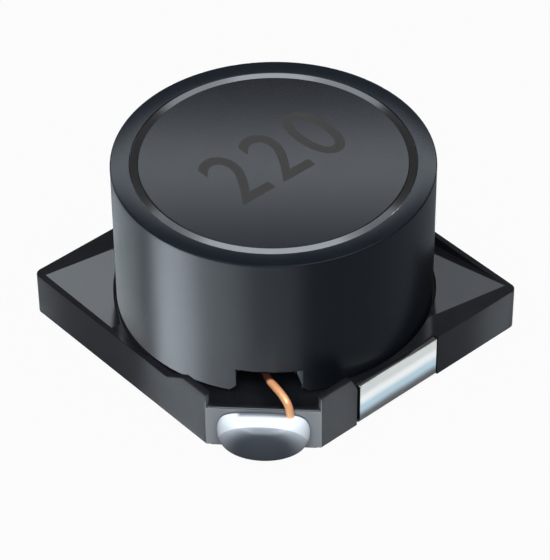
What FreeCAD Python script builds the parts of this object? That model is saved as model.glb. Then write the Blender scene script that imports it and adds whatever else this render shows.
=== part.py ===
"""Shielded SMD power inductor, in millimetres.

The part stands on a board in the plane z = 0, centred on the Z axis. The base is a square whose front
(+X -Y) and back (-X +Y) corners are cut off. The whole part is the same after half a turn about Z, so
what lies at the front corner or on the +X side is modelled once and turned for its twin.
"""
import FreeCAD, Part
import math
import os

Vec = FreeCAD.Vector
UP = Vec(0, 0, 1)

# Ferrite core: drum and shield ring of one height
drum_radius = 4.92
drum_post_radius = 2.6
core_height = 6.03
flange_thickness = 1.0
ferrite_edge_bevel = 0.04
lead_slot_width = 2.0
lead_slot_depth = 0.95
gap_width = 0.28
ring_wall = 0.72
ring_edge_bevel = 0.05
notch_width = 2.1
notch_height = 1.03
notch_bevel = 0.24

# Moulded base: a square with two cut corners, around the ring
side_margin = 0.5
corner_cut = 2.93
side_corner_radius = 0.3
base_underside = 0.05
floor_top = 1.45
rim_height = 0.4
rim_wall = 0.22
seat_clearance = 0.1
post_height = 0.56
post_wall = 0.3
long_post_length = 1.26
long_post_ramp = 0.88
short_post_ramp = 0.28
ledge_wall = 0.24
ledge_bevel = 0.05

# Corner pockets: a land along the terminal side, then a ramp down to the floor
land_width_at_corner = 0.42
land_width_at_terminal = 1.15
ramp_run = 3.46

# Epoxy: the bed under the core and the bead round the disc
bed_thickness = 0.15
bed_inset = 0.32
gap_fill_depth = 0.7
meniscus_depth = 0.07

# Winding
wire_diameter = 0.3
winding_clearance = 0.02
coil_inset = 0.35

# Leads: each leaves the coil, arches over the ledge and drops into its solder joint
lead_start_along = -0.62
lead_notch_along = 0.0
lead_arch_along = 0.6
lead_end_along = 0.92
lead_arch_height = 0.48
lead_arch_setback = 0.23
lead_drop = 0.42
lead_face_gap = 0.06
lead_bend_share = 0.45

# Tinned terminal strips
strip_thickness = 0.2
strip_clearance = 0.02
terminal_width = 3.82
terminal_offset = 0.32
terminal_below_rim = 0.01
opening_gap_front = 0.15
opening_gap_back = 0.07
side_bend_radius = 0.22
pad_length = 2.4
tab_width = 3.8
tab_length = 1.7
tab_inset = 0.03
tongue_width = 2.6
tongue_bend_radius = 0.35

# Solder joints on the cut faces
solder_width = 3.32
solder_bottom = 0.04
solder_height = 1.63
solder_depth = 0.83
solder_edge_width = 0.05
solder_over_tongue = 0.27
lead_depth_in_solder = 0.75

# Sizes that follow from those above
bore_radius = drum_radius + gap_width
ring_radius = bore_radius + ring_wall
half_side = ring_radius + side_margin
cut_face = math.sqrt(2) * half_side - corner_cut / math.sqrt(2)
rim_top = floor_top + rim_height
post_top = rim_top + post_height
core_bottom = floor_top + bed_thickness
core_top = core_bottom + core_height
window_bottom = core_bottom + flange_thickness
window_top = core_top - flange_thickness
coil_inner_radius = drum_post_radius + winding_clearance
layer_pitch = wire_diameter * math.sqrt(0.75)
layers = 1 + int((drum_radius - coil_inset - coil_inner_radius - wire_diameter) / layer_pitch)
coil_radius = coil_inner_radius + wire_diameter + (layers - 1) * layer_pitch
turns_per_layer = int((window_top - window_bottom) / wire_diameter)
coil_slack = window_top - window_bottom - turns_per_layer * wire_diameter
first_turn = window_bottom + (coil_slack + wire_diameter) / 2
terminal_span = (terminal_offset - terminal_width / 2, terminal_offset + terminal_width / 2)
wall_opening = (terminal_span[0] - opening_gap_front, terminal_span[1] + opening_gap_back)
solder_top = solder_bottom + solder_height
tongue_height = solder_top - solder_over_tongue
above_all = core_top + core_height


def half_turn(shape):
    """The twin of a shape, half a turn about the Z axis."""
    twin = shape.copy()
    twin.rotate(Vec(0, 0, 0), UP, 180)
    return twin


def to_front_corner(shape):
    """A shape drawn with +X out of the cut face and +Y along it, turned to the front corner."""
    turned = shape.copy()
    turned.rotate(Vec(0, 0, 0), UP, -45)
    return turned


def both_corners(shape):
    """A shape drawn at the cut face, at the front and the back corner."""
    front = to_front_corner(shape)
    return [front, half_turn(front)]


def loop(corners):
    """Closed wire through corners given as (point, radius), rounded where the radius is not zero."""
    edges = []
    ends = []
    count = len(corners)
    for i, (point, radius) in enumerate(corners):
        before = (corners[i - 1][0] - point).normalize()
        after = (corners[(i + 1) % count][0] - point).normalize()
        if radius == 0:
            ends.append((point, point))
            continue
        half_angle = before.getAngle(after) / 2
        reach = radius / math.tan(half_angle)
        middle = (before + after).normalize() * (radius / math.sin(half_angle) - radius)
        start = point + before * reach
        end = point + after * reach
        edges.append(Part.Arc(start, point + middle, end).toShape())
        ends.append((start, end))
    for i in range(count):
        leave = ends[i][1]
        arrive = ends[(i + 1) % count][0]
        if leave.distanceToPoint(arrive) > 1e-6:
            edges.append(Part.makeLine(leave, arrive))
    return Part.Wire(Part.__sortEdges__(edges))


def prism(corners, bottom, top):
    """Upright solid over a plan outline given as (x, y, radius)."""
    points = [(Vec(x, y, bottom), radius) for x, y, radius in corners]
    return Part.Face(loop(points)).extrude(UP * (top - bottom))


def side_prism(corners, start, end):
    """Solid along Y over an outline in the XZ plane given as (x, z, radius)."""
    points = [(Vec(x, start, z), radius) for x, z, radius in corners]
    return Part.Face(loop(points)).extrude(Vec(0, end - start, 0))


def box(x_range, y_range, z_range):
    """Plain block between the given limits."""
    size = [high - low for low, high in (x_range, y_range, z_range)]
    return Part.makeBox(*size, Vec(x_range[0], y_range[0], z_range[0]))


def turned(outline):
    """Solid of revolution about Z from (radius, z) corners with rounding radii."""
    points = [(Vec(r, 0, z), radius) for r, z, radius in outline]
    return Part.Face(loop(points)).revolve(Vec(0, 0, 0), UP, 360)


def base_outline(inset, cut_inset):
    """Square with two cut corners, moved in by the wall thickness of its sides and of its cut faces."""
    reach = half_side - inset
    cut = (cut_face - cut_inset) * math.sqrt(2) - reach
    radius = max(side_corner_radius - inset, 0)
    half = [(cut, -reach, 0), (reach, -cut, 0), (reach, reach, radius)]
    return half + [(-x, -y, r) for x, y, r in half]


def long_post():
    """Raised wall on the -Y side, beside the front cut: a ramp, then level up to the cut."""
    end = half_side - corner_cut
    ramp_end = end - long_post_length
    ramp_start = ramp_end - long_post_ramp
    profile = [(ramp_start, rim_top, 0), (ramp_end, post_top, 0), (end, post_top, 0), (end, floor_top, 0),
               (ramp_start, floor_top, 0)]
    return side_prism(profile, -half_side, -half_side + post_wall)


def short_post():
    """Raised wall on the +X side, from the front cut to the terminal opening."""
    start = corner_cut - half_side
    end = wall_opening[0]
    corners = [(start, post_top), (end - short_post_ramp, post_top), (end, rim_top), (end, floor_top),
               (start, floor_top)]
    points = [(Vec(half_side - post_wall, y, z), 0) for y, z in corners]
    return Part.Face(loop(points)).extrude(Vec(post_wall, 0, 0))


def corner_pocket():
    """Space over the +X +Y corner: its floor ramps down from the land on the terminal side."""
    corner = Vec(half_side - land_width_at_corner, half_side - rim_wall, 0)
    near = Vec(half_side - land_width_at_terminal, wall_opening[1], 0)
    along = (corner - near).normalize()
    inward = UP.cross(along)
    start = near - along * ramp_run
    profile = [start + UP * rim_top,
               start + inward * ramp_run + UP * floor_top,
               start + inward * half_side * 2 + UP * floor_top,
               start + inward * half_side * 2 + UP * above_all,
               start + UP * above_all]
    wedge = Part.Face(Part.makePolygon(profile + profile[:1])).extrude(along * half_side * 2)
    limits = box((0, half_side), (wall_opening[1], half_side - rim_wall), (floor_top, above_all))
    return wedge.common(limits)


def lead_well():
    """Space between the core and the front cut corner, down to the floor."""
    well = prism(base_outline(post_wall, ledge_wall), floor_top, above_all)
    return well.common(box((0, half_side), (-half_side, wall_opening[0]), (floor_top, above_all)))


def strip_room(end, radius, top, along):
    """Room for a folded strip on its inner side: under the base, round the bend and up the wall."""
    depth = strip_thickness + strip_clearance
    wall = end - depth
    corners = [(wall, depth, radius - strip_thickness), (wall, top, 0), (half_side * 2, top, 0),
               (half_side * 2, 0, 0), (wall - radius, 0, 0), (wall - radius, depth, 0)]
    return side_prism(corners, *along)


def terminal_seat():
    """Room for the +X strip: the wall opening, the pad pocket and the recess behind the tongue."""
    opening = strip_room(half_side, side_bend_radius, above_all, wall_opening)
    pocket = prism(pad_outline(strip_clearance), 0, strip_thickness + strip_clearance)
    half = tongue_width / 2 + strip_clearance
    recess = strip_room(cut_face, tongue_bend_radius, tongue_height + strip_clearance, (-half, half))
    return opening.fuse([pocket, to_front_corner(recess)])


def pad_outline(growth):
    """Plan of the strip under the base, from the +X side pad to the tab at the front cut."""
    first, last = terminal_span
    inner = half_side - pad_length - growth
    outer = half_side - side_bend_radius + growth
    tab_half = tab_width / 2 + growth
    tab_end = cut_face - tab_inset + growth
    tab_start = cut_face - tab_length

    def corner_point(out, along):
        turn = math.sqrt(0.5)
        return (turn * (out + along), turn * (along - out), 0)

    return [(inner, last + growth, 0), (outer, last + growth, 0), (outer, first - growth, 0),
            corner_point(tab_end, tab_half), corner_point(tab_end, -tab_half),
            corner_point(tab_start, -tab_half), (inner, first - pad_length / 2, 0)]


def make_base():
    """The black moulding."""
    body = prism(base_outline(0, 0), base_underside, rim_top)
    posts = [long_post(), short_post()]
    body = body.fuse(posts + [half_turn(post) for post in posts])
    pockets = [corner_pocket(), lead_well()]
    seat = Part.makeCylinder(ring_radius + seat_clearance, above_all, Vec(0, 0, floor_top))
    strips = terminal_seat()
    body = body.cut(pockets + [half_turn(pocket) for pocket in pockets] + [seat, strips, half_turn(strips)])
    body = body.removeSplitter()
    return body.makeChamfer(ledge_bevel, ledge_edges(body))


def ledge_edges(body):
    """Outer top edges of the two cut faces."""
    found = []
    for edge in body.Edges:
        middle = edge.CenterOfMass
        on_face = abs(abs(middle.x - middle.y) / math.sqrt(2) - cut_face) < 1e-4
        if on_face and abs(middle.z - rim_top) < 1e-4 and edge.Length > tongue_width:
            found.append(edge)
    return found


def make_ring():
    """The shield ring, with a lead notch at each cut corner."""
    ring = turned([(bore_radius, core_bottom, 0), (ring_radius, core_bottom, 0),
                   (ring_radius, core_top - ring_edge_bevel, 0), (ring_radius - ring_edge_bevel, core_top, 0),
                   (bore_radius + ferrite_edge_bevel, core_top, 0),
                   (bore_radius, core_top - ferrite_edge_bevel, 0)])
    half = notch_width / 2
    top = core_bottom + notch_height
    outline = [(-half - notch_bevel, core_bottom), (-half, core_bottom + notch_bevel), (-half, top),
               (half, top), (half, core_bottom + notch_bevel), (half + notch_bevel, core_bottom)]
    points = [Vec(0, along, z) for along, z in outline]
    notch = Part.Face(Part.makePolygon(points + points[:1])).extrude(Vec(half_side, 0, 0))
    return ring.cut(both_corners(notch))


def make_drum():
    """The drum core: two flanges on a post, the lower one slotted for the leads."""
    drum = turned([(0, core_bottom, 0), (drum_radius, core_bottom, 0), (drum_radius, window_bottom, 0),
                   (drum_post_radius, window_bottom, 0), (drum_post_radius, window_top, 0),
                   (drum_radius, window_top, 0), (drum_radius, core_top - ferrite_edge_bevel, 0),
                   (drum_radius - ferrite_edge_bevel, core_top, 0), (0, core_top, 0)])
    half = lead_slot_width / 2
    slot = box((drum_radius - lead_slot_depth, half_side), (-half, half), (core_bottom, window_bottom))
    return drum.cut(both_corners(slot))


def make_gap_epoxy():
    """The bead in the groove between disc and ring, its top drawn down between their bevels."""
    rise = core_top - ferrite_edge_bevel
    bottom = core_top - gap_fill_depth
    middle = (drum_radius + bore_radius) / 2
    sides = [Vec(drum_radius, 0, rise), Vec(drum_radius, 0, bottom), Vec(bore_radius, 0, bottom),
             Vec(bore_radius, 0, rise)]
    outline = sides + [Vec(middle, 0, rise - meniscus_depth), sides[0]]
    return Part.Face(Part.makePolygon(outline)).revolve(Vec(0, 0, 0), UP, 360)


def make_seat_epoxy():
    """The bed between the base floor and the core, open where the leads come out."""
    bed = Part.makeCylinder(ring_radius - bed_inset, bed_thickness, Vec(0, 0, floor_top))
    half = notch_width / 2 + notch_bevel
    clear_of_lead = box((drum_radius - lead_slot_depth, half_side), (-half, half), (floor_top, core_bottom))
    return bed.cut(both_corners(clear_of_lead))


def lead_points():
    """Middle line of a lead at the cut face: out of the coil, through slot and notch, arched over the ledge."""
    crest = rim_top + lead_arch_height
    beside_face = cut_face + wire_diameter / 2 + lead_face_gap
    return [Vec(coil_radius - wire_diameter, lead_start_along, first_turn),
            Vec((bore_radius + ring_radius) / 2, lead_notch_along, core_bottom + notch_height / 2),
            Vec(cut_face - lead_arch_setback, lead_arch_along, crest),
            Vec(beside_face, lead_end_along, crest - lead_drop),
            Vec(beside_face, lead_end_along, solder_top - lead_depth_in_solder)]


def lead_path():
    """Straight runs joined by tangent arcs, each taking its share of the shorter run beside it."""
    points = lead_points()
    edges = []
    at = points[0]
    for before, corner, after in zip(points, points[1:], points[2:]):
        back = before - corner
        ahead = after - corner
        reach = lead_bend_share * min(back.Length, ahead.Length)
        start = corner + back.normalize() * reach
        end = corner + ahead.normalize() * reach
        half_angle = back.getAngle(ahead) / 2
        radius = reach * math.tan(half_angle)
        inset = radius / math.sin(half_angle) - radius
        middle = corner + (back + ahead).normalize() * inset
        edges.append(Part.makeLine(at, start))
        edges.append(Part.Arc(start, middle, end).toShape())
        at = end
    edges.append(Part.makeLine(at, points[-1]))
    return Part.Wire(edges)


def make_lead():
    """Round wire along the lead's middle line, at the front corner."""
    path = lead_path()
    points = lead_points()
    section = Part.Wire(Part.makeCircle(wire_diameter / 2, points[0], points[1] - points[0]))
    return to_front_corner(path.makePipeShell([section], True, True))


def make_winding(leads):
    """The coil, an even barrel over its outer layer of turns, and its two leads."""
    bottom = first_turn - wire_diameter / 2
    top = bottom + turns_per_layer * wire_diameter
    coil = turned([(coil_inner_radius, bottom, 0), (coil_radius, bottom, 0), (coil_radius, top, 0),
                   (coil_inner_radius, top, 0)])
    return coil.fuse(leads)


def folded_strip(end, height, radius, run):
    """Profile of a strip that lies flat, bends up at x = end and stands to a height."""
    inner = end - strip_thickness
    return [(end - run, 0, 0), (end, 0, radius), (end, height, 0), (inner, height, 0),
            (inner, strip_thickness, radius - strip_thickness), (end - run, strip_thickness, 0)]


def make_terminal():
    """The +X strip: side upright, pad under the base and tongue up the front cut face."""
    height = rim_top - terminal_below_rim
    upright = side_prism(folded_strip(half_side, height, side_bend_radius, pad_length / 2),
                         *terminal_span)
    half = tongue_width / 2
    tongue = side_prism(folded_strip(cut_face, tongue_height, tongue_bend_radius, tab_length / 2), -half, half)
    pad = prism(pad_outline(0), 0, strip_thickness)
    return upright.fuse([pad, to_front_corner(tongue)]).removeSplitter()


def make_solder(leads, terminals):
    """The joint on the front cut face: a rounded pillow around the end of the lead."""
    half = solder_width / 2
    corner_radius = solder_height / 2 - solder_edge_width / 2
    rounding = min(corner_radius, solder_depth) - solder_edge_width
    corners = [(-half, solder_bottom), (half, solder_bottom), (half, solder_top), (-half, solder_top)]
    points = [(Vec(cut_face, along, z), corner_radius) for along, z in corners]
    pillow = Part.Face(loop(points)).extrude(Vec(solder_depth, 0, 0))
    front = [edge for edge in pillow.Edges if edge.BoundBox.XMin > cut_face + solder_depth - 1e-4]
    pillow = pillow.makeFillet(rounding, front)
    return to_front_corner(pillow).cut(leads + terminals)


def main():
    lead = make_lead()
    leads = [lead, half_turn(lead)]
    terminal = make_terminal()
    solder = make_solder([lead], [terminal])
    pieces = {
        "base": make_base(),
        "terminal_front": terminal,
        "terminal_back": half_turn(terminal),
        "seat_epoxy": make_seat_epoxy(),
        "drum_core": make_drum(),
        "winding": make_winding(leads),
        "shield_ring": make_ring(),
        "gap_epoxy": make_gap_epoxy(),
        "solder_front": solder,
        "solder_back": half_turn(solder),
    }
    os.makedirs("parts", exist_ok=True)
    for name, shape in pieces.items():
        solid = shape.Solids[0] if len(shape.Solids) == 1 else shape
        print(name, "solids", len(shape.Solids), "valid", shape.isValid(), "volume", round(shape.Volume, 3))
        solid.exportStep(f"parts/{name}.step")


main()
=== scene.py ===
import math
import bpy
from mathutils import Matrix, Vector


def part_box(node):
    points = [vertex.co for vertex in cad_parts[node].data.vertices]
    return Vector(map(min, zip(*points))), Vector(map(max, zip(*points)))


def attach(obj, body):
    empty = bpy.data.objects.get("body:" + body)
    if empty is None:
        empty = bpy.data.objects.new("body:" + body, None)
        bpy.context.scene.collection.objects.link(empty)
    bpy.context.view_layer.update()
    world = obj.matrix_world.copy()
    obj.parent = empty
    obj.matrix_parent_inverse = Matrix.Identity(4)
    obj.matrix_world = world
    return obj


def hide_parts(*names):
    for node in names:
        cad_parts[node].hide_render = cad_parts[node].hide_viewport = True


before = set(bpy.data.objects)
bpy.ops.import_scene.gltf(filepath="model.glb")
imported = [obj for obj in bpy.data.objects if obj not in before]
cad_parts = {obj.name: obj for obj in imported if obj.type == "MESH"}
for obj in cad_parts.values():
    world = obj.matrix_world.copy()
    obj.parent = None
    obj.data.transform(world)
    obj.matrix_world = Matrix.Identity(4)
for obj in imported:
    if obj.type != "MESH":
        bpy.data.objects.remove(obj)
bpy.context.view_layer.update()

mm = 0.001
root2 = math.sqrt(2)
zAxis = Vector((0, 0, 1))
frontTurn = -45  # from +X to the front cut corner

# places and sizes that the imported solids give
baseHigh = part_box("base")[1]
ringLow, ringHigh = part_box("shield_ring")
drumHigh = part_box("drum_core")[1]
gapLow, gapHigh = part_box("gap_epoxy")
halfSide = baseHigh.x
ringRadius = ringHigh.x
boreRadius = gapHigh.x
drumRadius = drumHigh.x
coreBottom = ringLow.z
coreTop = ringHigh.z
cutFace = max(v.co.x - v.co.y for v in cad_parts["base"].data.vertices) / root2
print("frame loaded:", len(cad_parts), "nodes")

# how near a vertex or a normal has to be to count as picked
near = {"radius": 0.02 * mm, "height": 0.01 * mm, "facing": 0.9, "level": 0.1}


# selecting and placing

def select(piece):
    if bpy.context.object and bpy.context.object.mode != "OBJECT":
        bpy.ops.object.mode_set(mode="OBJECT")
    bpy.ops.object.select_all(action="DESELECT")
    piece.select_set(True)
    bpy.context.view_layer.objects.active = piece


def pick(piece, kind, test):
    # leaves edit mode on, with only what passes the test selected
    select(piece)
    mesh = piece.data
    parts = {"VERT": mesh.vertices, "EDGE": mesh.edges, "FACE": mesh.polygons}
    for group in parts.values():
        group.foreach_set("select", [False] * len(group))
    for part in parts[kind]:
        if kind == "VERT":
            part.select = test(part.co)
        elif kind == "EDGE":
            part.select = all(test(mesh.vertices[i].co) for i in part.vertices)
        else:
            part.select = test(part.center, part.normal)
    bpy.context.tool_settings.mesh_select_mode = (kind == "VERT", kind == "EDGE", kind == "FACE")
    bpy.ops.object.mode_set(mode="EDIT")


def editAll(piece):
    select(piece)
    bpy.ops.object.mode_set(mode="EDIT")
    bpy.ops.mesh.select_all(action="SELECT")


def leaveEdit():
    bpy.ops.object.mode_set(mode="OBJECT")


def settle(piece):
    # the place goes into the mesh and the object back to the origin
    select(piece)
    bpy.ops.object.transform_apply(location=True, rotation=True, scale=True)
    return piece


def named(name):
    piece = bpy.context.object
    piece.name = name
    piece.data.name = name
    return settle(piece)


def turn(piece, degrees):
    piece.rotation_euler.z += math.radians(degrees)
    return settle(piece)


def copyOf(piece, name, degrees=0):
    twin = piece.copy()
    twin.data = piece.data.copy()
    twin.name = name
    twin.data.name = name
    bpy.context.scene.collection.objects.link(twin)
    return turn(twin, degrees)


def join(pieces, name):
    select(pieces[0])
    for piece in pieces[1:]:
        piece.select_set(True)
    bpy.ops.object.join()
    return named(name)


def modify(piece, kind, **settings):
    select(piece)
    made = piece.modifiers.new(kind.title(), kind)
    for name, value in settings.items():
        setattr(made, name, value)
    bpy.ops.object.modifier_apply(modifier=made.name)
    return piece


def cut(piece, tools, operation="DIFFERENCE"):
    for tool in tools:
        modify(piece, "BOOLEAN", object=tool, operation=operation, solver="EXACT")
        bpy.data.objects.remove(tool)
    return piece


def smooth(piece, degrees=32):
    select(piece)
    bpy.ops.object.shade_smooth_by_angle(angle=math.radians(degrees))
    return piece


def smoothWithFlats(piece, degrees=32):
    # the large faces keep their own normals, and the narrow rounded edges turn between them
    smooth(piece, degrees)
    return modify(piece, "WEIGHTED_NORMAL", keep_sharp=True)


def dress(piece, body, finish, slot, *nodes):
    piece.data.materials.clear()
    piece.data.materials.append(finish)
    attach(piece, body)
    if nodes:
        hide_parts(*nodes)
    print("piece done:", piece.name, len(piece.data.polygons), "faces")


def addBox(name, low, high):
    size = [b - a for a, b in zip(low, high)]
    middle = [(a + b) / 2 for a, b in zip(low, high)]
    bpy.ops.mesh.primitive_cube_add(size=1, location=middle)
    bpy.context.object.scale = size
    return named(name)


# shader maths

class Signal:
    def __init__(self, tree, socket=None):
        self.tree = tree
        self.socket = socket

    def node(self, kind, settings=None, inputs=None, output=0):
        made = self.tree.nodes.new(kind)
        for name, value in (settings or {}).items():
            if name == "stops":
                ramp = made.color_ramp
                while len(ramp.elements) < len(value):
                    ramp.elements.new(1.0)
                for element, (place, colour) in zip(ramp.elements, value):
                    element.position = place
                    element.color = colour
            else:
                setattr(made, name, value)
        for name, value in (inputs or {}).items():
            if isinstance(value, Signal):
                self.tree.links.new(value.socket, made.inputs[name])
            else:
                made.inputs[name].default_value = value
        return Signal(self.tree, made.outputs[output])

    def maths(self, operation, first, second=0.0, clamp=False):
        settings = {"operation": operation, "use_clamp": clamp}
        return self.node("ShaderNodeMath", settings, {0: first, 1: second})

    def __add__(self, other):
        return self.maths("ADD", self, other)

    def __radd__(self, other):
        return self.maths("ADD", other, self)

    def __sub__(self, other):
        return self.maths("SUBTRACT", self, other)

    def __rsub__(self, other):
        return self.maths("SUBTRACT", other, self)

    def __mul__(self, other):
        return self.maths("MULTIPLY", self, other)

    def __rmul__(self, other):
        return self.maths("MULTIPLY", other, self)

    def __truediv__(self, other):
        return self.maths("DIVIDE", self, other)

    def __pow__(self, other):
        return self.maths("POWER", self, other)

    def size(self):
        return self.maths("ABSOLUTE", self)

    def clamped(self):
        return self.maths("ADD", self, 0.0, clamp=True)

    def ramp(self, low, high):
        # 0 below low, 1 above high, with a soft start and end
        return self.node("ShaderNodeMapRange", {"interpolation_type": "SMOOTHSTEP"},
                         {"Value": self, "From Min": low, "From Max": high})

    def step(self, place, soft):
        # 0 below the place, 1 above it, soft to either side
        return self.ramp(place - soft, place + soft)

    def blend(self, first, second):
        return self.node("ShaderNodeMix", {"data_type": "RGBA"}, {0: self, 6: first, 7: second}, 2)


def tint(red, green, blue):
    # a colour as seen on screen, 0 to 255, for a shader socket
    def linear(value):
        share = value / 255
        return share / 12.92 if share <= 0.04045 else ((share + 0.055) / 1.055) ** 2.4
    return (linear(red), linear(green), linear(blue), 1)


def finish(name, look):
    made = bpy.data.materials.new(name)
    made.use_nodes = True
    tree = made.node_tree
    shader = tree.nodes["Principled BSDF"]
    for socket, value in look(Signal(tree)).items():
        if isinstance(value, Signal):
            tree.links.new(value.socket, shader.inputs[socket])
        else:
            shader.inputs[socket].default_value = value
    print("finish ready:", name)
    return made


def objectPlace(graph):
    return graph.node("ShaderNodeTexCoord", output="Object")


def axisOf(graph, place, axis):
    return graph.node("ShaderNodeSeparateXYZ", inputs={"Vector": place}, output=axis)


def cutPlace(graph, place):
    # distance out of the part and along it, seen square to the two cut corners
    x, y = axisOf(graph, place, "X"), axisOf(graph, place, "Y")
    return (x - y) / root2, (x + y) / root2


def noise(graph, place, size, detail=3):
    # even noise, 0 to 1, with features of about the given size in metres
    inputs = {"Vector": place, "Scale": 1 / size, "Detail": detail, "Roughness": 0.55}
    return graph.node("ShaderNodeTexNoise", inputs=inputs, output="Fac")


def bump(graph, height, depth):
    return graph.node("ShaderNodeBump", inputs={"Height": height, "Distance": depth, "Strength": 1.0},
                      output="Normal")


# the cut tones are a painted reflection on the two cut faces, not a colour of the moulding
moulding = {"dark": (22, 22, 25), "light": (31, 31, 34), "grain": 0.09 * mm, "cloud": 1.6 * mm,
            "grainDetail": 4, "cloudRange": (0.3, 0.7), "roughness": 0.13, "roughnessSpread": 0.04,
            "specular": 0.5, "depth": 0.0004 * mm, "cutSheenDark": (105, 107, 108), "cutSheenLight": (163, 163, 163),
            "cutSkin": 0.02 * mm, "cutHalf": 2.0 * mm, "cutEndShare": 0.7}


def mouldingLook(graph):
    place = objectPlace(graph)
    grain = noise(graph, place, moulding["grain"], moulding["grainDetail"])
    cloud = noise(graph, place, moulding["cloud"])
    out, along = cutPlace(graph, place)
    onCut = out.size().ramp(cutFace - moulding["cutSkin"], cutFace - moulding["cutSkin"] / 2)
    towardEnd = (along.size() / moulding["cutHalf"]) ** 2
    moulded = cloud.ramp(*moulding["cloudRange"]).blend(tint(*moulding["dark"]), tint(*moulding["light"]))
    # painted reflection: the two cut faces are paler, and most so toward their ends, a sheen painted into their colour
    endShare = moulding["cutEndShare"]
    cutSheenMix = (endShare * towardEnd + (1 - endShare) * cloud).clamped()
    cutSheen = cutSheenMix.blend(tint(*moulding["cutSheenDark"]), tint(*moulding["cutSheenLight"]))
    return {"Base Color": onCut.blend(moulded, cutSheen),
            "Roughness": moulding["roughness"] + moulding["roughnessSpread"] * (grain - 0.5),
            "Specular IOR Level": moulding["specular"],
            "Normal": bump(graph, grain, moulding["depth"])}


# the roughness of each finish stays on one side of 0.27, where the denoiser leaves patches
ferrite = {"ringDark": (20, 25, 32), "ringLight": (28, 33, 40), "drumDark": (25, 26, 30), "drumLight": (32, 33, 37),
           "grain": 0.06 * mm, "grainDetail": 2, "cloud": 1.1 * mm, "cloudShare": 0.6, "speckRange": (0.35, 0.75),
           "groundRoughness": 0.2, "pressedRoughness": 0.31, "roughnessSpread": 0.04, "specular": 0.25,
           "groundRange": (0.03 * mm, 0.01 * mm), "depth": 0.00012 * mm}


def ferriteLook(dark, light):
    def look(graph):
        place = objectPlace(graph)
        grain = noise(graph, place, ferrite["grain"], ferrite["grainDetail"])
        cloud = noise(graph, place, ferrite["cloud"])
        speck = grain.ramp(*ferrite["speckRange"])
        # the top is ground flat, all the rest is as pressed
        ground = axisOf(graph, place, "Z").ramp(*[coreTop - depth for depth in ferrite["groundRange"]])
        pressed = ferrite["pressedRoughness"]
        roughness = pressed - (pressed - ferrite["groundRoughness"]) * ground
        share = ferrite["cloudShare"]
        return {"Base Color": (share * cloud + (1 - share) * speck).blend(tint(*dark), tint(*light)),
                "Roughness": roughness + ferrite["roughnessSpread"] * (cloud - 0.5),
                "Specular IOR Level": ferrite["specular"],
                "Normal": bump(graph, grain, ferrite["depth"])}
    return look


epoxy = {"dark": (22, 21, 22), "light": (34, 33, 34), "cloud": 0.6 * mm, "roughness": 0.14,
         "roughnessSpread": 0.1, "refraction": 2.6, "depth": 0.0006 * mm}


def epoxyLook(graph):
    cloud = noise(graph, objectPlace(graph), epoxy["cloud"])
    return {"Base Color": cloud.blend(tint(*epoxy["dark"]), tint(*epoxy["light"])),
            "Roughness": epoxy["roughness"] + epoxy["roughnessSpread"] * (cloud - 0.5),
            "IOR": epoxy["refraction"],
            "Normal": bump(graph, cloud, epoxy["depth"])}


# the inside colour is painted shade on the wire within the ring
enamel = {"inside": (62, 34, 30), "dark": (240, 172, 118), "light": (255, 206, 156), "cloud": 0.8 * mm,
          "cloudRange": (0.25, 0.75), "insideShadeRange": (6.04 * mm, 6.2 * mm), "metallic": 0.2, "roughness": 0.34,
          "roughnessSpread": 0.1, "coat": 0.3, "coatRoughness": 0.12, "coatTint": (235, 150, 90)}


def enamelLook(graph):
    place = objectPlace(graph)
    cloud = noise(graph, place, enamel["cloud"])
    clean = cloud.ramp(*enamel["cloudRange"]).blend(tint(*enamel["dark"]), tint(*enamel["light"]))
    # painted shade: the wire is darker where it lies inside the ring, where the ring shades it
    unshaded = cutPlace(graph, place)[0].size().ramp(*enamel["insideShadeRange"])
    return {"Base Color": unshaded.blend(tint(*enamel["inside"]), clean),
            "Metallic": enamel["metallic"],
            "Roughness": enamel["roughness"] + enamel["roughnessSpread"] * (cloud - 0.5),
            "Coat Weight": enamel["coat"],
            "Coat Roughness": enamel["coatRoughness"],
            "Coat Tint": tint(*enamel["coatTint"])}


# the tin's colours are painted reflection, highlight and shade in bands by height
tin = {"footShade": (93, 92, 90), "reflectedBlue": (186, 203, 209), "paintedHighlight": (243, 238, 229), "top": (214, 211, 203),
       "footRange": (0.3 * mm, 0.72 * mm), "brightRange": (0.8 * mm, 1.12 * mm), "topRange": (1.2 * mm, 1.5 * mm),
       "lineWidth": 0.02 * mm, "lineLength": 1.5 * mm, "lineDetail": 4, "cloud": 0.9 * mm, "lineShare": 0.5,
       "mottle": 0.2 * mm, "roughness": 0.22, "roughnessSpread": 0.1, "depth": 0.0008 * mm}


def tinLook(graph):
    place = objectPlace(graph)
    stretch = (1, tin["lineWidth"] / tin["lineLength"], 1)
    rolled = graph.node("ShaderNodeMapping", inputs={"Vector": place, "Scale": stretch})
    lines = noise(graph, rolled, tin["lineWidth"], tin["lineDetail"])
    cloud = noise(graph, place, tin["cloud"])
    share = tin["lineShare"]
    # painted reflection and shade: the tones lie in bands up the strip, with uneven borders, a dark painted shade at
    # the foot, a bluish painted reflection, a painted highlight band and a paler painted reflection at the top
    level = axisOf(graph, place, "Z") + tin["mottle"] * (share * lines + (1 - share) * cloud - 0.5)
    lower = level.ramp(*tin["footRange"]).blend(tint(*tin["footShade"]), tint(*tin["reflectedBlue"]))
    middle = level.ramp(*tin["brightRange"]).blend(lower, tint(*tin["paintedHighlight"]))
    return {"Base Color": level.ramp(*tin["topRange"]).blend(middle, tint(*tin["top"])),
            "Metallic": 1.0,
            "Roughness": tin["roughness"] + tin["roughnessSpread"] * (lines - 0.5),
            "Normal": bump(graph, lines, tin["depth"])}


# the joint's colours are painted reflection, highlight and shade, not the solder's own tone
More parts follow.
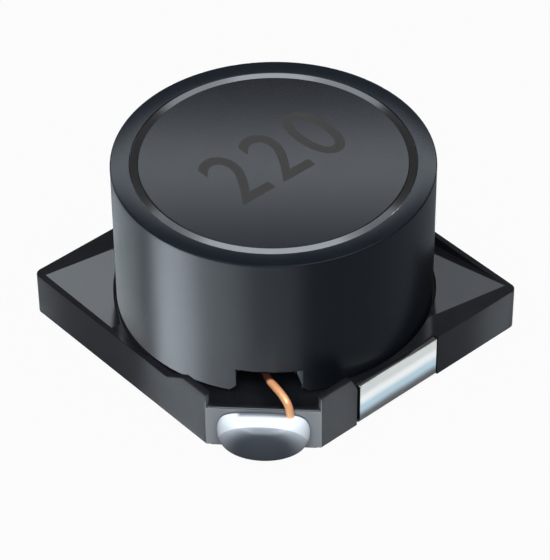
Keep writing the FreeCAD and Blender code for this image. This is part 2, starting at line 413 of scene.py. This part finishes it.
solder = {"seam": (58, 62, 68), "rearShade": (112, 116, 122), "core": (72, 75, 81), "face": (214, 216, 219),
          "light": (244, 245, 246), "cloud": 0.5 * mm, "metallic": 0.04, "specular": 0.35, "roughness": 0.2,
          "roughnessSpread": 0.08, "depth": 0.002 * mm, "lean": 0.66, "rise": 0.753,
          "faceMiddle": 0.14 * mm, "faceHalfHeight": 1.0 * mm, "faceHalfWidth": 1.6 * mm, "faceRange": (0.4, 1.2),
          "faceMottle": 0.06, "brightMiddle": 0.04 * mm, "brightHalfHeight": 0.81 * mm,
          "brightHalfWidth": 1.69 * mm, "brightPower": 2.5, "brightSoft": 0.05, "brightEnd": 0.2 * mm,
          "brightEndSoft": 0.12 * mm, "seamRange": (0.03 * mm, 0.09 * mm), "rearDepth": 0.3 * mm,
          "rearHalf": 0.9 * mm, "rearSoft": 0.1 * mm, "lowRimHighlight": (0.05 * mm, 0.15 * mm)}


def solderLook(graph):
    place = objectPlace(graph)
    cloud = noise(graph, place, solder["cloud"])
    out, along = cutPlace(graph, place)
    height = axisOf(graph, place, "Z")
    outward = out.size() - cutFace
    # how far down the front of the joint, seen at a slant from above
    downSlope = solder["lean"] * outward - solder["rise"] * height
    # painted reflection: the face is dark in its middle and pale toward its edges
    upward = (downSlope - solder["faceMiddle"]) / solder["faceHalfHeight"]
    sideways = along / solder["faceHalfWidth"]
    fromMiddle = (upward ** 2 + sideways ** 2) ** 0.5
    faceTone = (fromMiddle + solder["faceMottle"] * (cloud - 0.5)).ramp(*solder["faceRange"]) ** 2
    face = faceTone.blend(tint(*solder["core"]), tint(*solder["face"]))
    # painted highlight: the pale rim lies over the darker face and down its two sides
    high = ((downSlope - solder["brightMiddle"]) / solder["brightHalfHeight"]).size()
    wide = along.size() / solder["brightHalfWidth"]
    aroundFace = high ** solder["brightPower"] + wide ** solder["brightPower"]
    above = 1 - downSlope.step(-solder["brightEnd"], solder["brightEndSoft"])
    paintedHighlight = aroundFace.step(1, solder["brightSoft"]) * above
    body = paintedHighlight.blend(face, tint(*solder["light"]))
    # painted shade: grey behind the middle of the rim, and a dark painted contact shadow where the joint meets the cut
    # face
    inMiddle = 1 - along.size().step(solder["rearHalf"], solder["rearSoft"])
    rearShade = (1 - outward.ramp(solder["seamRange"][1], solder["rearDepth"])) * inMiddle
    seam = 1 - outward.ramp(*solder["seamRange"])
    body = rearShade.blend(body, tint(*solder["rearShade"]))
    # painted highlight: a pale line along the bottom edge
    lowRimHighlight = 1 - height.ramp(*solder["lowRimHighlight"])
    body = lowRimHighlight.blend(body, tint(*solder["face"]))
    return {"Base Color": seam.blend(body, tint(*solder["seam"])),
            "Metallic": solder["metallic"],
            "Specular IOR Level": solder["specular"],
            "Roughness": solder["roughness"] + solder["roughnessSpread"] * (cloud - 0.5),
            "Normal": bump(graph, cloud, solder["depth"])}


ink = {"dark": (58, 56, 54), "light": (74, 71, 68), "grain": 0.06 * mm, "roughness": 0.7,
       "roughnessSpread": 0.2, "specular": 0.15, "depth": 0.001 * mm}


def inkLook(graph):
    grain = noise(graph, objectPlace(graph), ink["grain"])
    return {"Base Color": grain.blend(tint(*ink["dark"]), tint(*ink["light"])),
            "Roughness": ink["roughness"] + ink["roughnessSpread"] * (grain - 0.5),
            "Specular IOR Level": ink["specular"],
            "Normal": bump(graph, grain, ink["depth"])}


mouldingFinish = finish("blackMoulding", mouldingLook)
ringFinish = finish("ringFerrite", ferriteLook(ferrite["ringDark"], ferrite["ringLight"]))
drumFinish = finish("drumFerrite", ferriteLook(ferrite["drumDark"], ferrite["drumLight"]))
epoxyFinish = finish("curedEpoxy", epoxyLook)
enamelFinish = finish("enamelledCopper", enamelLook)
tinFinish = finish("rolledTin", tinLook)
solderFinish = finish("solderedJoint", solderLook)
inkFinish = finish("markingInk", inkLook)


# moulded base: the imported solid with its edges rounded

packed = {"merge": 1e-7, "planeAngle": 0.5, "sharpAngle": 30}
base = {"edgeRound": 0.03 * mm, "roundSteps": 2, "roundedAbove": 1.4 * mm, "rampRise": (0.95, 0.998)}


def copyOfNode(node, name):
    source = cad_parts[node]
    piece = bpy.data.objects.new(name, source.data.copy())
    bpy.context.scene.collection.objects.link(piece)
    editAll(piece)
    bpy.ops.mesh.remove_doubles(threshold=packed["merge"])
    bpy.ops.mesh.customdata_custom_splitnormals_clear()
    bpy.ops.mesh.dissolve_limited(angle_limit=math.radians(packed["planeAngle"]))
    leaveEdit()
    return piece


def roundEdges(piece, width, steps, lowest):
    # every sharp edge that lies wholly above the lowest height
    editAll(piece)
    bpy.ops.mesh.select_mode(type="EDGE")
    bpy.ops.mesh.select_all(action="DESELECT")
    bpy.ops.mesh.edges_select_sharp(sharpness=math.radians(packed["sharpAngle"]))
    leaveEdit()
    mesh = piece.data
    weight = mesh.attributes.new("bevel_weight_edge", "FLOAT", "EDGE")
    for edge in mesh.edges:
        high = all(mesh.vertices[i].co.z > lowest for i in edge.vertices)
        weight.data[edge.index].value = 1.0 if edge.select and high else 0.0
    modify(piece, "BEVEL", width=width, segments=steps, limit_method="WEIGHT", use_clamp_overlap=False)


def makeBase():
    piece = copyOfNode("base", "mouldedBase")
    roundEdges(piece, base["edgeRound"], base["roundSteps"], base["roundedAbove"])
    smooth(piece)
    # the gentle ramps keep an edge where they meet the level faces
    least, most = base["rampRise"]
    pick(piece, "FACE", lambda centre, normal: least < normal.z < most)
    bpy.ops.mesh.region_to_loop()
    bpy.ops.mesh.mark_sharp()
    leaveEdit()
    modify(piece, "WEIGHTED_NORMAL", keep_sharp=True)
    dress(piece, "root", mouldingFinish, "moulding", "base")


makeBase()


# shield ring: a turned tube with two lead notches

ring = {"steps": 192, "outerBevel": 0.05 * mm, "outerSteps": 4, "boreBevel": 0.03 * mm, "boreSteps": 2,
        "notchWidth": 2.1 * mm, "notchHeight": 1.03 * mm, "notchFlare": 0.24 * mm, "wallShift": 0.1 * mm,
        "wallOpening": 0.36, "edgeRound": 0.025 * mm, "edgeSteps": 2, "sharpAngle": 40, "topMargin": 0.001 * mm}


def addTube(name, outer, inner, bottom, top, steps):
    bpy.ops.mesh.primitive_cylinder_add(vertices=steps, radius=outer, depth=top - bottom,
                                        location=(0, 0, (top + bottom) / 2))
    piece = named(name)
    pick(piece, "FACE", lambda centre, normal: abs(normal.z) > near["facing"])
    bpy.ops.mesh.inset(thickness=outer - inner)
    bpy.ops.mesh.bridge_edge_loops()
    leaveEdit()
    return piece


def bevelRim(piece, radius, height, width, steps):
    def onRim(co):
        return abs(math.hypot(co.x, co.y) - radius) < near["radius"] and abs(co.z - height) < near["height"]
    pick(piece, "EDGE", onRim)
    bpy.ops.mesh.bevel(offset=width, segments=steps)
    leaveEdit()


def addNotchTool():
    half = ring["notchWidth"] / 2
    flare = ring["notchFlare"]
    inner, outer = drumRadius, halfSide + ringRadius
    tool = addBox("notchTool", (inner, -half, coreBottom + flare), (outer, half, coreBottom + ring["notchHeight"]))
    # the mouth flares, then goes straight down
    pick(tool, "FACE", lambda centre, normal: normal.z < -near["facing"])
    for widen in ((half + flare) / half, 1):
        bpy.ops.mesh.extrude_region_move(TRANSFORM_OT_translate={"value": (0, 0, -flare)})
        bpy.ops.transform.resize(value=(1, widen, 1), center_override=(0, 0, 0))
    leaveEdit()
    # one wall opens outwards
    for end in (inner, outer):
        pick(tool, "VERT", lambda co: co.y > 0 and (co.x > ringRadius) == (end > ringRadius))
        shift = ring["wallShift"] + ring["wallOpening"] * (end - boreRadius)
        bpy.ops.transform.translate(value=(0, shift, 0))
        leaveEdit()
    return tool


def makeRing():
    top = coreTop - ring["topMargin"]
    piece = addTube("shieldRing", ringRadius, boreRadius, coreBottom, top, ring["steps"])
    bevelRim(piece, ringRadius, top, ring["outerBevel"], ring["outerSteps"])
    bevelRim(piece, boreRadius, top, ring["boreBevel"], ring["boreSteps"])
    tool = turn(addNotchTool(), frontTurn)
    cut(piece, [copyOf(tool, "notchTwin", 180), tool])
    modify(piece, "BEVEL", width=ring["edgeRound"], segments=ring["edgeSteps"], limit_method="ANGLE",
           angle_limit=math.radians(ring["sharpAngle"]), use_clamp_overlap=False)
    smoothWithFlats(piece)
    dress(piece, "root", ringFinish, "ring_ferrite", "shield_ring")


makeRing()


# drum core: two flanges on a post

drum = {"steps": 192, "flange": 1.0 * mm, "postRadius": 2.6 * mm, "edgeBevel": 0.04 * mm, "edgeSteps": 3,
        "slotWidth": 2.0 * mm, "slotDepth": 0.95 * mm, "inkDepth": 0.005 * mm}


def makeDrum():
    top = coreTop - drum["inkDepth"]
    bpy.ops.mesh.primitive_cylinder_add(vertices=drum["steps"], radius=drumRadius, depth=top - coreBottom,
                                        location=(0, 0, (top + coreBottom) / 2))
    piece = named("drumCore")
    for height in (coreBottom + drum["flange"], coreTop - drum["flange"]):
        editAll(piece)
        bpy.ops.mesh.bisect(plane_co=(0, 0, height), plane_no=(0, 0, 1))
        leaveEdit()
    middle = (coreBottom + coreTop) / 2
    pick(piece, "FACE",
         lambda centre, normal: abs(centre.z - middle) < drum["flange"] and abs(normal.z) < near["level"])
    bpy.ops.mesh.extrude_region_move()
    share = drum["postRadius"] / drumRadius
    bpy.ops.transform.resize(value=(share, share, 1), center_override=(0, 0, middle))
    leaveEdit()
    bevelRim(piece, drumRadius, top, drum["edgeBevel"], drum["edgeSteps"])
    half = drum["slotWidth"] / 2
    slot = turn(addBox("slotTool", (drumRadius - drum["slotDepth"], -half, coreBottom - drum["flange"]),
                       (halfSide, half, coreBottom + drum["flange"])), frontTurn)
    cut(piece, [copyOf(slot, "slotTwin", 180), slot])
    smoothWithFlats(piece)
    dress(piece, "root", drumFinish, "drum_ferrite", "drum_core")


makeDrum()


# epoxy in the groove, its top leaning toward the front corner

gap = {"steps": 192, "below": 0.015 * mm, "slope": 18.5, "leansToward": 48.678, "reach": 0.2 * mm,
       "smoothBelow": 60}


def makeGapEpoxy():
    drop = (boreRadius - drumRadius) * math.tan(math.radians(gap["slope"])) / 2
    top = coreTop - gap["below"] - drop
    piece = addTube("gapEpoxy", boreRadius, drumRadius, gapLow.z, top, gap["steps"])
    middle = (boreRadius + drumRadius) / 2
    # the two upper loops tip against each other
    for isOuter, angle in ((True, -drop / boreRadius), (False, drop / drumRadius)):
        pick(piece, "VERT",
             lambda co: co.z > top - gap["reach"] and (math.hypot(co.x, co.y) > middle) == isOuter)
        bpy.ops.transform.rotate(value=angle, orient_axis="X", center_override=(0, 0, top))
        leaveEdit()
    turn(piece, gap["leansToward"])
    smoothWithFlats(piece, gap["smoothBelow"])
    dress(piece, "root", epoxyFinish, "epoxy", "gap_epoxy")


makeGapEpoxy()

# the bed under the core stays as packed, in the same epoxy
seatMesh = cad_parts["seat_epoxy"].data
seatMesh.materials.clear()
seatMesh.materials.append(epoxyFinish)


# winding: stacked turns and two leads, one wire

wire = {"radius": 0.15 * mm, "coilRadius": 4.57 * mm, "steps": 128, "sides": 12, "turns": 13,
        "firstTurn": 2.815 * mm, "postClearance": 0.02 * mm, "curveSteps": 8, "bevelSteps": 5, "curveOrder": 4,
        "smoothBelow": 50,
        "leadPoints": ((4.27, -0.62, 2.815), (4.9, -0.33, 2.6), (5.56, -0.06, 2.34), (6.08, 0.2, 2.32),
                       (6.55, 0.52, 2.38), (6.98, 0.83, 2.28), (7.09, 0.96, 1.95), (7.09, 0.97, 1.55),
                       (7.09, 0.97, 1.0))}


def makeLead():
    curve = bpy.data.curves.new("leadRoute", "CURVE")
    curve.dimensions = "3D"
    curve.resolution_u = wire["curveSteps"]
    curve.bevel_depth = wire["radius"]
    curve.bevel_resolution = wire["bevelSteps"]
    curve.use_fill_caps = True
    route = curve.splines.new("NURBS")
    route.points.add(len(wire["leadPoints"]) - 1)
    for point, place in zip(route.points, wire["leadPoints"]):
        point.co = (*[value * mm for value in place], 1)
    route.order_u = wire["curveOrder"]
    route.use_endpoint_u = True
    lead = bpy.data.objects.new("lead", curve)
    bpy.context.scene.collection.objects.link(lead)
    select(lead)
    bpy.ops.object.convert(target="MESH")
    return turn(bpy.context.object, frontTurn)


def makeWinding():
    lead = makeLead()
    pieces = [lead, copyOf(lead, "leadTwin", 180)]
    turnRadius = wire["coilRadius"] - wire["radius"]
    for i in range(wire["turns"]):
        height = wire["firstTurn"] + i * 2 * wire["radius"]
        bpy.ops.mesh.primitive_torus_add(major_radius=turnRadius, minor_radius=wire["radius"], location=(0, 0, height),
                                         major_segments=wire["steps"], minor_segments=wire["sides"])
        pieces.append(named("turn"))
    # the layers below the outer one are one sleeve
    low = wire["firstTurn"] - wire["radius"]
    high = low + wire["turns"] * 2 * wire["radius"]
    postRadius = drum["postRadius"] + wire["postClearance"]
    pieces.append(addTube("innerLayers", turnRadius, postRadius, low, high, wire["steps"]))
    piece = join(pieces, "woundWire")
    smooth(piece, wire["smoothBelow"])
    dress(piece, "root", enamelFinish, "enamelled_copper", "winding")


makeWinding()


# terminals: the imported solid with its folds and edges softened

terminal = {"edgeRound": 0.02 * mm, "roundSteps": 2, "roundedAbove": 0.3 * mm, "smoothBelow": 40}


def makeTerminal(node, name):
    piece = copyOfNode(node, name)
    roundEdges(piece, terminal["edgeRound"], terminal["roundSteps"], terminal["roundedAbove"])
    smoothWithFlats(piece, terminal["smoothBelow"])
    dress(piece, "root", tinFinish, "tinned_strip", node)


makeTerminal("terminal_front", "terminalFront")
makeTerminal("terminal_back", "terminalBack")


# solder joints: a pillow spun from its outline, stretched along the cut face and sliced where it meets it

joint = {"width": 3.36 * mm, "bottom": 0.01 * mm, "top": 1.7 * mm, "depth": 1.08 * mm, "rooted": 0.04 * mm,
         "steps": 128, "curveSteps": 10, "curveOrder": 3, "merge": 1e-4, "sliceReach": 1e-9, "smoothBelow": 50,
         "profile": ((0, 1), (0.42, 0.99), (0.86, 0.9), (1.02, 0.4),
                     (1.02, -0.4), (0.86, -0.9), (0.42, -0.99), (0, -1))}


def makeSolder():
    curve = bpy.data.curves.new("solderProfile", "CURVE")
    curve.dimensions = "3D"
    curve.resolution_u = joint["curveSteps"]
    route = curve.splines.new("NURBS")
    route.points.add(len(joint["profile"]) - 1)
    for point, (radius, height) in zip(route.points, joint["profile"]):
        point.co = (radius, 0, height, 1)
    route.order_u = joint["curveOrder"]
    route.use_endpoint_u = True
    profile = bpy.data.objects.new("solderProfile", curve)
    bpy.context.scene.collection.objects.link(profile)
    select(profile)
    bpy.ops.object.convert(target="MESH")
    piece = named("solderFront")
    editAll(piece)
    bpy.ops.mesh.spin(steps=joint["steps"], angle=math.tau, center=(0, 0, 0), axis=(0, 0, 1))
    bpy.ops.mesh.select_all(action="SELECT")
    bpy.ops.mesh.remove_doubles(threshold=joint["merge"])
    bpy.ops.mesh.normals_make_consistent(inside=False)
    leaveEdit()
    wanted = (2 * joint["depth"], joint["width"], joint["top"] - joint["bottom"])
    piece.scale = [size / made for size, made in zip(wanted, piece.dimensions)]
    piece.location = (cutFace, 0, (joint["bottom"] + joint["top"]) / 2)
    settle(piece)
    editAll(piece)
    bpy.ops.mesh.bisect(plane_co=(cutFace - joint["rooted"], 0, 0), plane_no=(1, 0, 0), clear_inner=True,
                        use_fill=True, threshold=joint["sliceReach"])
    leaveEdit()
    turn(piece, frontTurn)
    smooth(piece, joint["smoothBelow"])
    return piece


solderFront = makeSolder()
solderBack = copyOf(solderFront, "solderBack", 180)
dress(solderFront, "root", solderFinish, "solder", "solder_front")
dress(solderBack, "root", solderFinish, "solder", "solder_back")


# marking: three plain digits on the disc

marking = {"digits": "220", "size": 4.07 * mm, "width": 0.84, "spacing": 1.13, "embolden": 0.02 * mm,
           "middle": (-0.035 * mm, 0.22 * mm), "readsToward": 90, "thickness": 0.008 * mm}


def makeMarking():
    bpy.ops.object.text_add()
    piece = bpy.context.object
    text = piece.data
    text.body = marking["digits"]
    text.size = marking["size"]
    text.space_character = marking["spacing"]
    text.align_x = "CENTER"
    text.align_y = "CENTER"
    text.offset = marking["embolden"]
    text.extrude = marking["thickness"] / 2
    piece.location = (*marking["middle"], coreTop - marking["thickness"])
    piece.scale.x = marking["width"]
    piece.rotation_euler.z = math.radians(marking["readsToward"])
    bpy.ops.object.convert(target="MESH")
    piece = named("markingDigits")
    smooth(piece)
    dress(piece, "root", inkFinish, None)


makeMarking()


# camera, as fitted to the photograph

camera = {"azimuth": 48.678, "elevation": 41.131, "tilt": -0.572, "distance": 109.105 * mm, "lens": 189.235,
          "aimHeight": 3.5 * mm, "aimRight": 0.027 * mm, "aimUp": -1.233 * mm, "clipStart": 1 * mm}


def makeCamera():
    azimuth, elevation, tilt = (math.radians(camera[name]) for name in ("azimuth", "elevation", "tilt"))
    back = Vector((math.sin(azimuth) * math.cos(elevation), -math.cos(azimuth) * math.cos(elevation),
                   math.sin(elevation)))
    right = Vector((math.cos(azimuth), math.sin(azimuth), 0))
    up = back.cross(right)
    tilted = math.cos(tilt) * right + math.sin(tilt) * up
    upright = math.cos(tilt) * up - math.sin(tilt) * right
    aim = Vector((0, 0, camera["aimHeight"])) + camera["aimRight"] * tilted + camera["aimUp"] * upright
    place = Matrix((tilted, upright, back)).transposed().to_4x4()
    place.translation = aim + camera["distance"] * back
    bpy.ops.object.camera_add()
    eye = bpy.context.object
    eye.matrix_world = place
    eye.data.lens = camera["lens"]
    eye.data.clip_start = camera["clipStart"]
    bpy.context.scene.camera = eye
    return back, right


towardCamera, towardRight = makeCamera()
towardFront = Vector((towardCamera.x, towardCamera.y, 0)).normalized()
print("camera set")


# studio: pale floor, soft lamps, even surroundings
# turn is counted round the part from the camera, distance and size are in millimetres
# "on" names the pieces a lamp lights, "behind" those that shade it, "backOn" those its half-turn copy lights

lampColour = (0.84, 0.92, 1.0)
lampAim = (0, 0, 4)
onBase = {"on": ("mouldedBase",)}
onRing = {"on": ("shieldRing",), "behind": ("markingDigits",)}
onTop = {"on": ("shieldRing", "drumCore", "markingDigits")}
onWire = {"on": ("woundWire",)}
onJoint = {"on": ("solderFront",), "backOn": ("solderBack",)}
onWall = {"on": ("mouldedBase",), "behind": ("mouldedBase",)}
lamps = {
    "overhead": {"turn": 0, "elevation": 78, "distance": 120, "size": (200, 150), "radiance": 1.8},
    # the soft light band across disc and ring
    "band": {"turn": 180, "elevation": 38.8, "distance": 23, "size": (43, 2.7), "radiance": 3.2,
             "aim": (0.45, -0.4, 7.63), **onTop},
    "bandWide": {"turn": 180, "elevation": 38.8, "distance": 24, "size": (44, 5.8), "radiance": 1.15,
                 "aim": (0.45, -0.4, 7.63), **onTop},
    # the base's pockets left and right of the ring, and all of it from the front
    "leftPocket": {"turn": 178, "elevation": 52.6, "distance": 400, "size": (80, 50), "radiance": 3.9, **onBase},
    "rightPocket": {"turn": 180.5, "elevation": 30.2, "distance": 400, "size": (80, 40), "radiance": 1.4, **onBase},
    "frontFill": {"turn": 0, "elevation": 45, "distance": 120, "size": (120, 90), "radiance": 3.5, **onBase},
    # solder joint and lead
    "solderFill": {"turn": 0, "elevation": 45, "distance": 120, "size": (120, 90), "radiance": 3.2, **onJoint},
    "leadFill": {"turn": 0, "elevation": 50, "distance": 120, "size": (60, 50), "radiance": 14.5, **onWire},
    "leadBack": {"turn": 180, "elevation": 60, "distance": 120, "size": (60, 50), "radiance": 2.5, **onWire},
    "solderTop": {"turn": 180, "elevation": 41, "distance": 100, "size": (60, 60), "radiance": 1.6,
                  "behind": ("markingDigits",), **onJoint},
    # far and near arcs of the groove, toward their ends
    "grooveEnds": {"turn": 180, "elevation": 61, "distance": 120, "size": (76, 40), "radiance": 1.1,
                   "on": ("gapEpoxy",)},
    # small cards below the level of the floor, mirrored in the upright walls of the base
    "wallFront": {"turn": -99.7, "elevation": -43.3, "distance": 15, "size": (4, 8), "radiance": 0.92,
                  "aim": (3.3, -6.42, 1.2), **onWall},
    "wallLeft": {"turn": -103.4, "elevation": -41.5, "distance": 15, "size": (1.4, 8), "radiance": 0.9,
                 "aim": (-6.7, -6.42, 1), **onWall},
    "wallRight": {"turn": 88, "elevation": -41.8, "distance": 15, "size": (3, 8), "radiance": 0.9,
                  "aim": (6.42, 6.9, 1), **onWall},
    "wallPost": {"turn": 84.3, "elevation": -43.6, "distance": 15, "size": (1.9, 8), "radiance": 0.85,
                 "aim": (6.42, -2.8, 1.2), **onWall},
    # cards of one height round the ring, mirrored as upright bands in its side
    "sideLimb": {"turn": -147, "elevation": -40, "distance": 100, "size": (26, 40), "radiance": 0.35, **onRing},
    "sideRim": {"turn": -126, "elevation": -40, "distance": 100, "size": (50, 40), "radiance": 1.2, **onRing},
    "sideStrong": {"turn": -75, "elevation": -40, "distance": 100, "size": (42, 40), "radiance": 9, **onRing},
    "sideMiddle": {"turn": -43, "elevation": -40, "distance": 100, "size": (54, 40), "radiance": 3.9, **onRing},
    "sideWeak": {"turn": -5, "elevation": -40, "distance": 100, "size": (60, 40), "radiance": 1.4, **onRing},
    # light on the ring from behind, and on the disc from the front
    "ringBack": {"turn": 180, "elevation": -22, "distance": 100, "size": (56, 70), "radiance": 3, **onRing},
    "discBack": {"turn": 0, "elevation": 32, "distance": 120, "size": (120, 60), "radiance": 1.2,
                 "on": ("drumCore", "markingDigits")},
    # the tinned strip, and the far left of the base
    "terminalCard": {"turn": 86, "elevation": -42.5, "distance": 100, "size": (60, 30), "radiance": 0.91,
                     "on": ("terminalFront",), "behind": ("markingDigits",), "backOn": ("terminalBack",)},
    "farLeft": {"turn": -130, "elevation": 12, "distance": 90, "size": (50, 50), "radiance": 2, **onBase},
}
surroundings = {"sky": 0.09, "floor": (150, 152, 156), "cameraShare": 0.96, "glossyShare": 0.05,
                "horizon": (0.0, 0.04), "floorRadius": 1.5, "floorSteps": 96, "floorDrop": 0.002 * mm}


def groupOf(name, pieces):
    group = bpy.data.collections.new(name)
    for piece in pieces:
        group.objects.link(bpy.data.objects[piece])
    return group


def makeLamp(name, values):
    angle = math.radians(values["turn"])
    height = math.radians(values["elevation"])
    level = math.cos(angle) * towardFront + math.sin(angle) * towardRight
    direction = math.cos(height) * level + math.sin(height) * zAxis
    aim = Vector(values.get("aim", lampAim)) * mm
    bpy.ops.object.light_add(type="AREA", location=aim + direction * values["distance"] * mm)
    lamp = bpy.context.object
    lamp.name = name
    across = zAxis.cross(direction).normalized()
    lamp.rotation_euler = Matrix((across, direction.cross(across), direction)).transposed().to_euler()
    wide, tall = (value * mm for value in values["size"])
    lamp.data.shape = "RECTANGLE"
    lamp.data.size = wide
    lamp.data.size_y = tall
    lamp.data.color = lampColour
    lamp.data.energy = values["radiance"] * wide * tall * math.pi
    lamp.visible_camera = False
    if "on" in values:
        lamp.light_linking.receiver_collection = groupOf(name + "Lit", values["on"])
    if "behind" in values:
        lamp.light_linking.blocker_collection = groupOf(name + "Shading", values["behind"])
        # sampled directly only, so the floor doesn't take light from a lamp that lies below it
        lamp.data.cycles.use_multiple_importance_sampling = False


def makeBackLamp(name, values):
    # the same lamp half a turn round, on the pieces of the other corner
    x, y, z = values.get("aim", lampAim)
    makeLamp(name + "Back", {**values, "turn": values["turn"] + 180, "aim": (-x, -y, z), "on": values["backOn"]})


def shownShare(graph, cameraShare, glossyShare):
    # how far the camera, and what mirrors or passes light, sees white instead of the plain surface
    path = "ShaderNodeLightPath"
    seen = graph.node(path, output="Is Camera Ray") * cameraShare
    mirrored = graph.node(path, output="Is Glossy Ray") + graph.node(path, output="Is Transmission Ray")
    return (seen + glossyShare * mirrored).clamped()


def mixShaders(graph, share, first, second, target):
    mixed = graph.node("ShaderNodeMixShader", inputs={0: share, 1: first, 2: second})
    graph.tree.links.new(mixed.socket, target)


def makeFloor():
    bpy.ops.mesh.primitive_circle_add(vertices=surroundings["floorSteps"], radius=surroundings["floorRadius"],
                                      fill_type="NGON", location=(0, 0, -surroundings["floorDrop"]))
    floor = named("studioFloor")
    made = bpy.data.materials.new("paleFloor")
    made.use_nodes = True
    graph = Signal(made.node_tree)
    made.node_tree.nodes.remove(made.node_tree.nodes["Principled BSDF"])
    plain = graph.node("ShaderNodeBsdfDiffuse", inputs={"Color": tint(*surroundings["floor"])})
    glow = graph.node("ShaderNodeEmission", inputs={"Color": (1, 1, 1, 1), "Strength": 1.0})
    share = shownShare(graph, surroundings["cameraShare"], surroundings["glossyShare"])
    mixShaders(graph, share, plain, glow, made.node_tree.nodes["Material Output"].inputs["Surface"])
    floor.data.materials.append(made)


def makeSurroundings():
    world = bpy.data.worlds.new("studio")
    world.use_nodes = True
    bpy.context.scene.world = world
    graph = Signal(world.node_tree)
    world.node_tree.nodes.remove(world.node_tree.nodes["Background"])
    direction = graph.node("ShaderNodeTexCoord", output="Generated")
    nearFloor = 1 - axisOf(graph, direction, "Z").ramp(*surroundings["horizon"])
    sky = graph.node("ShaderNodeBackground", inputs={"Color": (1, 1, 1, 1), "Strength": surroundings["sky"]})
    white = graph.node("ShaderNodeBackground", inputs={"Color": (1, 1, 1, 1), "Strength": 1.0})
    share = shownShare(graph, 1.0, nearFloor)
    mixShaders(graph, share, sky, white, world.node_tree.nodes["World Output"].inputs["Surface"])


for lampName, lampValues in lamps.items():
    makeLamp(lampName, lampValues)
    if "backOn" in lampValues:
        makeBackLamp(lampName, lampValues)
makeFloor()
makeSurroundings()
bpy.context.scene.view_settings.view_transform = "Standard"
print("studio set")
